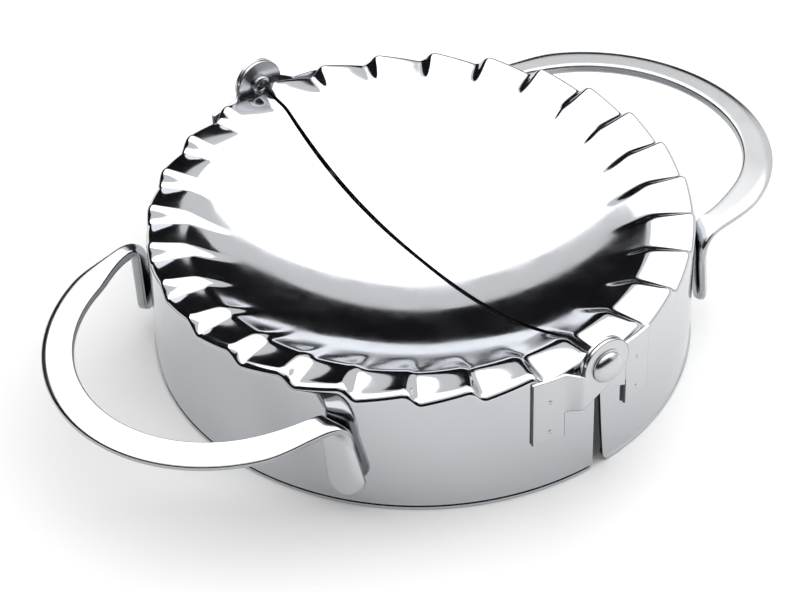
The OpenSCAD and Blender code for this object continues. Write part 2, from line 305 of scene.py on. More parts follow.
@dataclass
class HalfShell:
    """One drawn half: cutting skirt, shoulder, crimped rim and half bowl in one sheet."""

    skirt_r: float = SKIRT_R
    wall_h: float = 29.6
    sheet_t: float = 0.7
    shoulder_r: float = 1.5
    edge_h: float = 0.9
    foot_line: tuple[Point, ...] = (
        (0.0, 0.0), (0.21, 0.06), (0.29, 0.18), (0.31, 0.36), (0.3, 0.6), (0.28, 0.74),
        (0.24, 0.83), (0.16, 0.92), (0.08, 1.01), (0.03, 1.09), (0.0, 1.22))
    foot_fade: float = 1.2
    wall_rows: tuple[float, ...] = (
        1.8, 2.6, 4.0, 7.0, 10.0, 14.0, 18.0, 22.0, 25.0, 26.5, 27.5, 28.5, 29.3)
    shoulder_steps: int = 10
    rim_start: float = 0.8
    rim_step: float = 0.7
    rim_rows: int = 18
    bowl_rows: int = 22
    shoulder_reach: float = 0.6
    shoulder_share: float = 0.2
    waves: int = 14
    wave_h: float = 1.15
    steep_share: float = 0.18
    round_share: float = 0.15
    round_samples: int = 24
    rim_w: float = 7.6
    rim_drop: float = 0.6
    rim_fade: float = 0.3
    wave_end: float = 42.0
    wave_foot: float = 25.0
    bowl_depth: float = 12.5
    bowl_power: float = 2.4
    rim_fillet: float = 1.8
    half_gap: float = 0.46
    end_lean: float = 1.95
    lean_waves: float = 1.6
    lean_corner: float = 2.2
    upright_corner: float = 1.0
    corner_reach: float = 9.0
    columns_per_wave: int = 32
    edge_bevel: float = 0.12
    bevel_from: float = math.radians(55)

    @property
    def rim_r(self) -> float:
        """Radius at which the shoulder turns into the rim."""
        return self.skirt_r - self.shoulder_r

    @property
    def bowl_r(self) -> float:
        """Radius at which the rim turns into the bowl."""
        return self.rim_r - self.rim_w

    def rim_height(self, radius: float) -> float:
        """Height of the unwaved upper surface inside the shoulder.

        Args:
            radius: Distance from the middle of the press.

        Returns:
            Height, with the corner between rim and bowl rounded off.
        """
        rim_z = self.wall_h + self.shoulder_r
        slope = self.rim_drop / self.rim_w
        rim = rim_z - slope * (self.rim_r - radius)
        bowl = rim_z - self.rim_drop
        if radius < self.bowl_r:
            bowl -= self.bowl_depth * (1 - (radius / self.bowl_r) ** self.bowl_power)
        else:
            bowl += self.bowl_depth * self.bowl_power / self.bowl_r * (radius - self.bowl_r)
        gap = rim - bowl
        # The lower of the two surfaces wins, with a soft change where they meet.
        return (rim + bowl - math.sqrt(gap * gap + self.rim_fillet ** 2 * slope)) / 2

    def profile(self) -> list[Point]:
        """Outer line of the sheet from the foot of the skirt to the middle of the bowl.

        Returns:
            Radius and height of each point.
        """
        # The cutting edge stands a little proud of the wall, with a soft step above it.
        foot = [(self.skirt_r + out, z) for out, z in self.foot_line]
        wall = [(self.skirt_r, z) for z in self.wall_rows]
        turn = math.pi / 2 / self.shoulder_steps
        shoulder = [
            (self.rim_r + self.shoulder_r * math.cos(turn * k),
             self.wall_h + self.shoulder_r * math.sin(turn * k))
            for k in range(self.shoulder_steps + 1)]
        drop = shoulder[-1][1] - self.rim_height(self.rim_r - self.shoulder_reach)
        radii = [self.rim_r - self.rim_start - self.rim_step * k for k in range(self.rim_rows)]
        inner = [radii[-1] * (1 - k / self.bowl_rows) for k in range(1, self.bowl_rows + 1)]
        top = [(r, self.rim_height(r)) for r in radii + inner]
        # The first row inside the shoulder stands a little high, so that the two join softly.
        top[0] = (top[0][0], top[0][1] + drop * self.shoulder_share)
        return foot + wall + shoulder + top

    def saw(self, place: float) -> float:
        """Height of the crimp with sharp turns, from -1 at a trough to 1 at a crest.

        Args:
            place: Place along the rim, counted in waves.

        Returns:
            Height, with the short steep side round each whole number.
        """
        w, s = place % 1.0, self.steep_share / 2
        if w < s:
            return -w / s
        if w < 1 - s:
            return -1 + 2 * (w - s) / (1 - 2 * s)
        return (1 - w) / s

    @cached_property
    def crimp(self) -> list[float]:
        """Heights of one crimp wave at each column, with its turns rounded off.

        Returns:
            Heights from -1 to 1.
        """
        count, window = self.columns_per_wave, self.round_samples
        spread = [self.round_share * ((k + 0.5) / window - 0.5) for k in range(window)]
        soft = [sum(self.saw(c / count + shift) for shift in spread) for c in range(count)]
        crest = max(soft)
        return [height / crest for height in soft]

    def wave(self, place: float) -> float:
        """Height of a crimp wave at a column, from -1 at a trough to 1 at a crest."""
        return self.crimp[round(place * self.columns_per_wave) % self.columns_per_wave]

    def wave_share(self, radius: float, height: float) -> float:
        """Share of the wave height at a point of the unwaved sheet.

        Args:
            radius: Distance from the middle of the press.
            height: Height above the cutting edge.

        Returns:
            Share from 0 on the plain skirt and bowl to 1 on the shoulder.
        """
        if radius > self.rim_r:
            return ease(self.wave_foot, self.wall_h, height)
        if radius > self.bowl_r:
            return blend(self.rim_fade, 1.0, (radius - self.bowl_r) / self.rim_w)
        return self.rim_fade * ease(self.wave_end, self.bowl_r, radius)

    def from_end(self, place: float) -> float:
        """Distance along the skirt from a place, counted in waves, to the nearer cut."""
        return min(place, self.waves - place) * math.pi * self.skirt_r / self.waves

    def corner_lift(self, place: float, height: float) -> float:
        """Rise of the skirt's foot at the rounded corners of its two ends.

        Args:
            place: Place along the skirt, counted in waves.
            height: Height above the cutting edge.

        Returns:
            Rise, which fades out above the corner.
        """
        corner = self.lean_corner if place < self.waves / 2 else self.upright_corner
        along = self.from_end(place)
        if along >= corner:
            return 0.0
        rise = corner - math.sqrt(corner ** 2 - (corner - along) ** 2)
        return rise * max(0.0, 1 - max(0.0, height - self.edge_h) / self.corner_reach)

    def press_point(self, spot: Vector) -> Vector:
        """Move a point of the plain spun sheet to its place on the waved half with its ends.

        Args:
            spot: Point on the sheet as spun about the middle of its straight edge.

        Returns:
            Point on the left half.
        """
        across, along, height = spot.x + self.half_gap, spot.y, spot.z
        radius = math.hypot(across, along)
        if radius < MERGE_MM:
            return Vector((-self.half_gap, 0, height))
        angle = math.atan2(along, across) % math.tau
        place = min(self.waves, max(0.0, (angle - math.pi / 2) / math.pi * self.waves))
        # The step of the foot dies out at the two corners.
        if radius > self.skirt_r:
            step = radius - self.skirt_r
            radius = self.skirt_r + step * ease(0, self.foot_fade, self.from_end(place))
        lean = self.end_lean * max(0.0, 1 - height / self.wall_h)
        angle += lean * (1 - ease(0, self.lean_waves, place)) / self.skirt_r
        reach = self.half_gap * math.cos(angle) + math.sqrt(
            radius ** 2 - (self.half_gap * math.sin(angle)) ** 2)
        lift = self.wave_h * self.wave_share(radius, height) * self.wave(place)
        lift += self.corner_lift(place, height) if radius > self.rim_r else 0.0
        return Vector((reach * math.cos(angle) - self.half_gap, reach * math.sin(angle),
                       height + lift))

    def build(self, half: Half, materials: list[Material]) -> Object:
        """Spin the sheet's profile through half a turn, crimp it and give it its thickness.

        Args:
            half: Half of the press to build.
            materials: Finish of the sheet's outside, of its inside, whose darker grey is painted
                shade, and of its cut edges, which are painted dark as shade.

        Returns:
            The finished piece.
        """
        sheet = bmesh.new()
        spin_line(sheet, [(-self.half_gap, radius, height) for radius, height in self.profile()],
                  cent=(-self.half_gap, 0, 0), axis=(0, 0, 1), angle=math.pi,
                  steps=self.waves * self.columns_per_wave)
        bmesh.ops.remove_doubles(sheet, verts=sheet.verts, dist=MERGE_MM)
        for vert in sheet.verts:
            vert.co = self.press_point(vert.co)
        bmesh.ops.recalc_face_normals(sheet, faces=sheet.faces)
        # The outermost face, at the foot of the left half's skirt, has to look outwards.
        outermost = max(sheet.faces, key=lambda face: face.calc_center_median().xy.length_squared)
        if outermost.normal.dot(outermost.calc_center_median()) < 0:
            bmesh.ops.reverse_faces(sheet, faces=sheet.faces)
        bmesh.ops.transform(sheet, matrix=half.turn, verts=sheet.verts)
        piece = finish_piece(sheet, f"{half.value[0]}_half_pressing", half,
                             f"{half.value[0]}_shell", materials)
        wall = piece.modifiers.new("sheet_thickness", "SOLIDIFY")
        wall.thickness = self.sheet_t * MM
        wall.offset = -1
        wall.use_even_offset = True
        # The inside takes the darker inside finish and the cut rims the dark edge finish, both
        # partly painted shade.
        wall.material_offset, wall.material_offset_rim = 1, 2
        cut = piece.modifiers.new("cut_edges", "BEVEL")
        cut.width = self.edge_bevel * MM
        cut.segments = 2
        cut.limit_method = "ANGLE"
        cut.angle_limit = self.bevel_from
        cut.harden_normals = True
        return piece


@dataclass
class LoopHandle:
    """Loop of flat bar whose arms run to the skirt and bend down into two welded feet."""

    skirt_r: float = SKIRT_R
    weld_gap: float = WELD_GAP
    loop_r: float = 35.7
    loop_x: float = 52.1
    loop_shift: float = 0.3
    loop_end: float = math.radians(66)
    bar_w: float = 7.0
    bar_t: float = 2.3
    bar_z: float = 24.55
    bar_tilt: float = math.radians(4.2)
    arm_turn: float = math.radians(10)
    foot_angle: float = math.radians(36.6)
    foot_top_w: float = 7.2
    foot_w: float = 8.4
    foot_z: float = 5.4
    foot_shift: float = 1.6
    front_bends: Point = (1.8, 6.4)
    back_bends: Point = (1.8, 6.4)
    tip_end: float = math.radians(87)
    edge_across: float = 2.3
    edge_through: float = 0.95
    inner_edge: float = 0.6
    edge_steps: int = 10
    side_share: float = 0.88
    front_twist: float = math.radians(6)
    back_twist: float = math.radians(7)
    cuts: tuple[int, ...] = (64, 20, 20, 14, 18)
    face_cuts: int = 5
    # The very tip has no width and so no direction: the last cut stops just short of it.
    tip_short: float = 1e-4
    probe: float = 0.01

    def on_bar(self, x: float, y: float) -> Vector:
        """Point of the bar's sloping middle plane, from where it is seen from above."""
        return Vector((x, y, self.bar_z + math.tan(self.bar_tilt) * (x + self.loop_x)))

    def along_bar(self, angle: float) -> Vector:
        """Direction on the sloping plane that turns away from +X towards -Y by an angle."""
        x, y = math.cos(angle), -math.sin(angle)
        return Vector((x, y, math.tan(self.bar_tilt) * x)).normalized()

    def front_edges(self, s: float, shift: float) -> tuple[Vector, Vector]:
        """Inner and outer edge of the strip on the front side of the loop.

        Args:
            s: Place along the strip: 0 to 1 is the loop, then arm, bend, foot and rounded tip.
            shift: Shift of the loop towards the front.

        Returns:
            Points in the middle of the inner and of the outer edge.
        """
        down = Vector((0, 0, -1))
        out = Vector((-math.cos(self.foot_angle), -math.sin(self.foot_angle), 0))
        # A foot touches the skirt with one edge; the other one stands off by its twist.
        twist = self.front_twist if shift > 0 else self.back_twist
        across = Vector((-out.y, out.x, 0)) * math.cos(twist) + out * math.sin(twist)
        foot = (self.skirt_r + self.weld_gap + self.bar_t / 2
                + abs(math.sin(twist)) * self.foot_w / 2) * out
        tops = [foot - across * self.foot_top_w / 2, foot + across * self.foot_top_w / 2]
        corners = [self.on_bar(p.x, p.y) for p in tops]
        bends = self.front_bends if shift > 0 else self.back_bends
        arrive = self.along_bar(self.arm_turn)
        leave = self.along_bar(math.pi / 2 - self.loop_end)
        radii = [self.loop_r - self.bar_w / 2, self.loop_r + self.bar_w / 2]
        tip = foot + across * self.foot_shift - down * (self.foot_z + self.foot_w / 2)

        def loop(radius: float, angle: float) -> Vector:
            """Point of the loop itself."""
            return self.on_bar(-self.loop_x - radius * math.cos(angle),
                               -radius * math.sin(angle) - shift)

        def arm(start: Vector, end: Vector, f: float) -> Vector:
            """Point of the smooth curve from the loop to the bend.

            Args:
                start: End of the loop.
                end: Start of the bend.
                f: Share of the way along the curve.

            Returns:
                The point.
            """
            reach = (end - start).length / 3
            a, b = start + leave * reach, end - arrive * reach
            return (start.lerp(a, f).lerp(a.lerp(b, f), f)).lerp(
                a.lerp(b, f).lerp(b.lerp(end, f), f), f)

        def bend(corner: Vector, size: float, f: float) -> Vector:
            """Point of the bend round a corner."""
            return (corner - arrive * size).lerp(corner, f).lerp(
                corner.lerp(corner + down * size, f), f)

        if s <= 1:
            return tuple(loop(r, self.loop_end * s) for r in radii)
        if s <= 2:
            return tuple(arm(loop(r, self.loop_end), c - arrive * b, s - 1)
                         for r, c, b in zip(radii, corners, bends))
        if s <= 3:
            return tuple(bend(c, b, s - 2) for c, b in zip(corners, bends))
        sides = (-self.foot_w / 2, self.foot_w / 2)
        if s <= 4:
            return tuple((c + down * b).lerp(tip + across * side, s - 3)
                         for c, b, side in zip(corners, bends, sides))
        turn = self.tip_end * (s - 4)
        return tuple(tip + down * self.foot_w / 2 * math.sin(turn) + across * side * math.cos(turn)
                     for side in sides)

    def strip_point(self, s: float, share: float) -> Vector:
        """Point of the strip's middle surface.

        Args:
            s: Place along the strip, negative on the back side.
            share: Place across the strip, from -0.5 at the inner to 0.5 at the outer edge.

        Returns:
            The point, for the left handle.
        """
        inner, outer = self.front_edges(abs(s), math.copysign(self.loop_shift, s))
        point = inner.lerp(outer, share + 0.5)
        if s < 0:
            point.y = -point.y
        return point

    def place_along(self, step: float) -> float:
        """Place along the strip for a cut that is counted from the middle of the loop.

        Args:
            step: Number of the cut, negative on the back side.

        Returns:
            Place along the strip, as front_edges takes it.
        """
        left = abs(step)
        for number, count in enumerate(self.cuts):
            if left <= count:
                return math.copysign(number + left / count, step)
            left -= count
        return math.copysign(len(self.cuts), step)

    def bent(self, spot: Vector) -> Vector:
        """Carry a point of the straight bar to its place on the bent one.

        Args:
            spot: Cut number, distance across and distance through the bar.

        Returns:
            Point on the left handle.
        """
        limit = len(self.cuts) - self.tip_short
        s = max(-limit, min(limit, self.place_along(spot.x)))
        share = spot.y / self.bar_w
        low, high = max(-limit, s - self.probe), min(limit, s + self.probe)
        here = self.strip_point(s, share)
        travel = self.strip_point(high, share) - self.strip_point(low, share)
        across = self.strip_point(s, 0.5) - self.strip_point(s, -0.5)
        if abs(s) > len(self.cuts) - 1:
            travel = Vector((0, 0, -1)) * math.copysign(1, s)
        through = across.cross(travel).normalized()
        return here + through * spot.z

    def build(self, half: Half, materials: list[Material]) -> Object:
        """Round the edges of a straight bar, cut it along its length and bend it to shape.

        Args:
            half: Half of the press that the handle is welded to.
            materials: Finish of the bar's faces and of its sides.

        Returns:
            The finished piece.
        """
        steps = sum(self.cuts)
        bar = bmesh.new()
        bmesh.ops.create_cube(bar, size=1.0)
        flatten = self.edge_through / self.edge_across
        bmesh.ops.scale(bar, vec=(2 * steps, self.bar_w, self.bar_t / flatten), verts=bar.verts)
        long_edges = [e for e in bar.edges if abs(e.verts[0].co.x - e.verts[1].co.x) > 1]
        bmesh.ops.bevel(bar, geom=long_edges, offset=self.edge_across, segments=self.edge_steps,
                        profile=0.5, affect="EDGES", material=-1)
        # Buffing takes more off the faces than off the sides, so the rounding is an ellipse.
        bmesh.ops.scale(bar, vec=(1, 1, flatten), verts=bar.verts)
        # The inner edge of the loop, pressed together in bending, stays the sharper one.
        for vert in bar.verts:
            into = vert.co.y + self.bar_w / 2
            if into <= self.edge_across + MERGE_MM:
                vert.co.y = into * self.inner_edge / self.edge_across - self.bar_w / 2
        bar.normal_update()
        for face in bar.faces:
            face.material_index = int(abs(face.normal.y) > self.side_share)
        faces = [e for e in bar.edges if abs(e.verts[0].co.y - e.verts[1].co.y) > self.bar_w / 3]
        bmesh.ops.subdivide_edges(bar, edges=faces, cuts=self.face_cuts, use_grid_fill=True)
        cut_across(bar, range(1 - steps, steps))
        for vert in bar.verts:
            vert.co = self.bent(vert.co)
        bmesh.ops.recalc_face_normals(bar, faces=bar.faces)
        bmesh.ops.transform(bar, matrix=half.turn, verts=bar.verts)
        return finish_piece(bar, f"{half.value[0]}_loop_handle", half,
                            f"{half.value[0]}_handle", materials)


@dataclass
class HingePlate:
    """Stamped plate of the hinge: welded base, stepped arm and round ear with its hole."""

    skirt_r: float = SKIRT_R
    weld_gap: float = WELD_GAP
    axis_z: float = AXIS_Z
    plate_t: float = 0.8
    base_w: float = 7.5
    outer_base_x: float = 8.4
    inner_base_x: float = 7.6
    base_h: float = 16.8
    arm_h: float = 10.2
    ear_r: float = 5.9
    plate_drop: float = 0.5
    hole_r: float = 1.95
    neck_share: float = 0.6
    arm_slope: float = 0.48
    neck_angle: float = math.radians(-55)
    bend_gap: float = 0.4
    inner_ear_y: float = 61.3
    outer_ear_y: float = 62.2
    bend_start: float = -0.6
    bend_end: float = 0.3
    base_drop: float = 0.03
    ear_steps: int = 72
    hole_steps: int = 48
    join_gap: float = 0.02
    edge_bevel: float = 0.2
    sharp_from: float = math.radians(60)
    ear_share: float = 0.9
    ear_foot_share: float = 0.7
    flat_share: float = 0.98
    ear_side_share: float = 0.5
    side_share: float = 0.3
    bend_cut: float = 0.15
    bend_cuts: int = 24
    base_cut: float = 0.5
    base_cuts: tuple[int, int] = (3, 16)
    dot_heights: Point = (-6.4, -14.6)
    dot_r: float = 0.68
    dot_share: float = 0.46
    dot_steps: int = 24
    dot_profile: tuple[Point, ...] = (
        (0.0, 0.02), (0.3, 0.012), (0.42, 0.03), (0.56, 0.09), (0.68, 0.08), (0.9, -0.03),
        (0.0, -0.1))
    smooth_deg: float = 20.0

    def base_x(self, layer: Layer) -> float:
        """Distance from the hinge axis to the near edge of the welded base."""
        return self.outer_base_x if layer is Layer.OUTER else self.inner_base_x

    def bent(self, spot: Vector, layer: Layer) -> Vector:
        """Carry a point of the flat plate to its place at the front of the left half.

        Args:
            spot: Distance from the hinge axis, distance out of the plate, height over the axis.
            layer: Which ear the plate carries.

        Returns:
            Point on the bent plate.
        """
        ear_y = self.outer_ear_y if layer is Layer.OUTER else self.inner_ear_y
        base_x, bend_x = self.base_x(layer), self.ear_r + self.bend_gap
        reach = self.skirt_r + self.weld_gap
        start = math.asin(base_x / reach)
        if spot.x >= base_x:
            angle = start + (spot.x - base_x) / reach
            radius = reach + spot.y
            return Vector((-radius * math.sin(angle), -radius * math.cos(angle),
                           self.axis_z + spot.z))
        base_y = reach * math.cos(start)
        share = ease(bend_x + self.bend_start, base_x + self.bend_end, spot.x)
        depth = blend(ear_y, base_y - self.base_drop, share)
        lean = math.sin(start) * ease(bend_x, base_x, spot.x)
        return Vector((-spot.x - spot.y * lean, -depth - spot.y, self.axis_z + spot.z))

    def outline(self, plate: BMesh, layer: Layer) -> list[BMEdge]:
        """Draw the outline of the flat plate and its hole.

        Args:
            plate: Mesh to draw in.
            layer: Which ear the plate carries.

        Returns:
            The edges of outline and hole.
        """
        base_x = self.base_x(layer)
        low, neck = -self.arm_h - self.plate_drop, self.neck_share * self.ear_r
        edge_angle = math.asin(self.plate_drop / self.ear_r)
        corners = [
            (self.ear_r * math.cos(edge_angle), -self.plate_drop),
            (base_x + self.base_w, -self.plate_drop),
            (base_x + self.base_w, -self.plate_drop - self.base_h),
            (base_x, -self.plate_drop - self.base_h),
            (base_x, low),
            (neck, low + (base_x - neck) * self.arm_slope),
            (-self.ear_r * math.cos(self.neck_angle), self.ear_r * math.sin(self.neck_angle)),
        ]
        verts = [plate.verts.new((x, 0, z)) for x, z in corners]
        for pair in zip(verts, verts[1:]):
            plate.edges.new(pair)
        # Positive turns about +Y carry the far side of the ear over its top to the base's side.
        bmesh.ops.spin(plate, geom=verts[-1:], cent=(0, 0, 0), axis=(0, 1, 0),
                       angle=math.pi - self.neck_angle + edge_angle, steps=self.ear_steps)
        ring = bmesh.ops.create_circle(plate, segments=self.hole_steps, radius=self.hole_r)["verts"]
        bmesh.ops.rotate(plate, cent=(0, 0, 0), matrix=Matrix.Rotation(math.pi / 2, 3, "X"),
                         verts=ring)
        bmesh.ops.remove_doubles(plate, verts=plate.verts, dist=self.join_gap)
        return plate.edges[:]

    def weld_dot(self, plate: BMesh, layer: Layer, height: float) -> None:
        """Raise the faint ring that a spot weld leaves on the face of the plate.

        Args:
            plate: Mesh of the bent plate.
            layer: Which ear the plate carries.
            height: Height of the weld over the hinge axis.
        """
        spin_line(plate, [(self.dot_r * r, -h, 0) for r, h in self.dot_profile],
                  cent=(0, 0, 0), axis=(0, 1, 0), angle=math.tau, steps=self.dot_steps,
                  use_merge=True)
        # The plate itself lies far from the middle of the press, where the ring is spun.
        ring = [v for v in plate.verts if v.is_valid and v.co.length < 2 * self.dot_r]
        angle = math.asin((self.base_x(layer) + self.base_w * self.dot_share) / self.skirt_r)
        reach = self.skirt_r + self.weld_gap + self.plate_t
        bmesh.ops.rotate(plate, cent=(0, 0, 0), matrix=Matrix.Rotation(-angle, 3, "Z"), verts=ring)
        bmesh.ops.translate(plate, verts=ring, vec=(
            -reach * math.sin(angle), -reach * math.cos(angle), self.axis_z + height))

    def build(self, half: Half, layer: Layer, node: str, end_turn: Matrix,
              materials: list[Material]) -> Object:
        """Stamp the flat plate, round its edges, bend it and mark its welds.

        Args:
            half: Half of the press that the plate is welded to.
            layer: Which ear the plate carries.
            node: Solid that the plate stands for.
            end_turn: Turn or mirror that carries the front left plate to its place.
            materials: Finish of the plate's faces and of its edges left by the shears, which are
                painted dark as shade.

        Returns:
            The finished piece.
        """
        plate = bmesh.new()
        edges = self.outline(plate, layer)
        bmesh.ops.triangle_fill(plate, use_beauty=True, use_dissolve=False, edges=edges,
                                normal=(0, -1, 0))
        made = bmesh.ops.extrude_face_region(plate, geom=plate.faces[:])
        lifted = [v for v in made["geom"] if isinstance(v, BMVert)]
        bmesh.ops.translate(plate, verts=lifted, vec=(0, self.plate_t, 0))
        bmesh.ops.recalc_face_normals(plate, faces=plate.faces)
        sharp = [e for e in plate.edges if len(e.link_faces) == 2
                 and e.calc_face_angle() > self.sharp_from
                 and abs(e.verts[0].co.y - e.verts[1].co.y) < self.plate_t / 2]
        bmesh.ops.bevel(plate, geom=sharp, offset=self.edge_bevel, segments=2, profile=0.5,
                        affect="EDGES", material=-1)
        plate.normal_update()
        low = -self.arm_h - self.plate_drop
        for face in plate.faces:
            middle, tilt = face.calc_center_median(), abs(face.normal.y)
            on_ear = (middle.x < self.ear_share * self.ear_r
                      and middle.z > -self.ear_foot_share * self.ear_r)
            on_foot = face.normal.z < -self.side_share and (
                layer is Layer.INNER or middle.z < low - self.plate_drop)
            # Painted shade: the broken edge round the ear and the sides left by the shears away
            # from ear and top are painted dark, as the shade in the gaps beside the skirt and
            # between the ears.
            if on_ear:
                dark = self.ear_side_share < tilt < self.flat_share
            else:
                dark = (tilt < self.flat_share and face.normal.z < self.side_share
                        and not on_foot)
            face.material_index = int(dark)
        cut_across(plate, [self.ear_r + self.bend_cut * k for k in range(self.bend_cuts)])
        cut_across(plate, [self.base_x(layer) + self.base_cut * k
                           for k in range(*self.base_cuts)])
        for vert in plate.verts:
            vert.co = self.bent(vert.co, layer)
        for height in self.dot_heights:
            self.weld_dot(plate, layer, height)
        bmesh.ops.transform(plate, matrix=end_turn, verts=plate.verts)
        bmesh.ops.recalc_face_normals(plate, faces=plate.faces)
        return finish_piece(plate, node.replace("plate", "hinge_plate"), half, node,
                            materials, self.smooth_deg)


@dataclass
class Rivet:
    """Hinge rivet: domed head outside, shank through both ears, hollow clinched tail."""

    axis_z: float = AXIS_Z
    shank_r: float = 1.9
    head_r: float = 3.65
    head_h: float = 1.85
    head_drop: float = 0.75
    tail_r: float = 2.3
    tail_l: float = 0.95
    hollow_r: float = 1.15
    hollow_l: float = 2.2
    tail_y: float = 60.25
    head_y: float = 63.1
    lip_h: float = 0.3
    hollow_line: tuple[Point, ...] = ((0.0, 0.0), (0.7, 0.1), (1.0, 0.4))
    head_edge: float = 0.1
    head_inset: float = 0.12
    head_rim: Point = (0.01, 0.06)
    edge: float = 0.05
    lip_steps: int = 10
    dome_steps: int = 26
    steps: int = 96

    def profile(self) -> list[Point]:
        """Outer line of the rivet, from the bottom of its hollow to the top of its dome.

        Returns:
            Radius of each point and its distance from the middle of the press.
        """
        lip, half_lip = (self.tail_r + self.hollow_r) / 2, (self.tail_r - self.hollow_r) / 2
        hollow_end, tail_end = self.tail_y + self.hollow_l, self.tail_y + self.tail_l
        hollow = [(self.hollow_r * share, hollow_end - back) for share, back in self.hollow_line]
        tail = [
            (lip - half_lip * math.cos(a), self.tail_y + self.lip_h * (1 - math.sin(a)))
            for a in (math.pi * k / self.lip_steps for k in range(self.lip_steps + 1))]
        shank = [(self.tail_r, tail_end - self.edge), (self.tail_r - self.edge, tail_end),
                 (self.shank_r, tail_end), (self.shank_r, self.head_y)]
        rim_out, rim_up = self.head_rim
        under_head = [(self.head_r - self.head_inset, self.head_y),
                      (self.head_r - rim_out, self.head_y + rim_up)]
        dome = [
            (self.head_r * math.cos(a),
             self.head_y + self.head_edge + (self.head_h - self.head_edge) * math.sin(a))
            for a in (math.pi / 2 * k / self.dome_steps for k in range(1, self.dome_steps))]
        top = [(0.0, self.head_y + self.head_h)]
        return hollow + tail + shank + under_head + dome + top

    def build(self, node: str, turn: Matrix, material: Material) -> Object:
        """Spin the rivet's profile about the hinge axis.

        Args:
            node: Solid that the rivet stands for.
            turn: Turn that carries the front rivet to its place.
            material: Finish of the rivet.

        Returns:
            The finished piece.
        """
        body = bmesh.new()
        spin_line(body, [(radius, -depth, self.axis_z) for radius, depth in self.profile()],
                  cent=(0, 0, self.axis_z), axis=(0, 1, 0), angle=math.tau, steps=self.steps,
                  use_merge=True)
        bmesh.ops.remove_doubles(body, verts=body.verts, dist=MERGE_MM)
        # Riveting pushes the head a little off the middle of its shank.
        head = [v for v in body.verts if -v.co.y > self.head_y + self.edge / 2]
        bmesh.ops.translate(body, verts=head, vec=(0, 0, -self.head_drop))
        bmesh.ops.recalc_face_normals(body, faces=body.faces)
        bmesh.ops.transform(body, matrix=turn, verts=body.verts)
        return finish_piece(body, node.replace("rivet", "domed_rivet"), Half.LEFT, node,
                            [material])


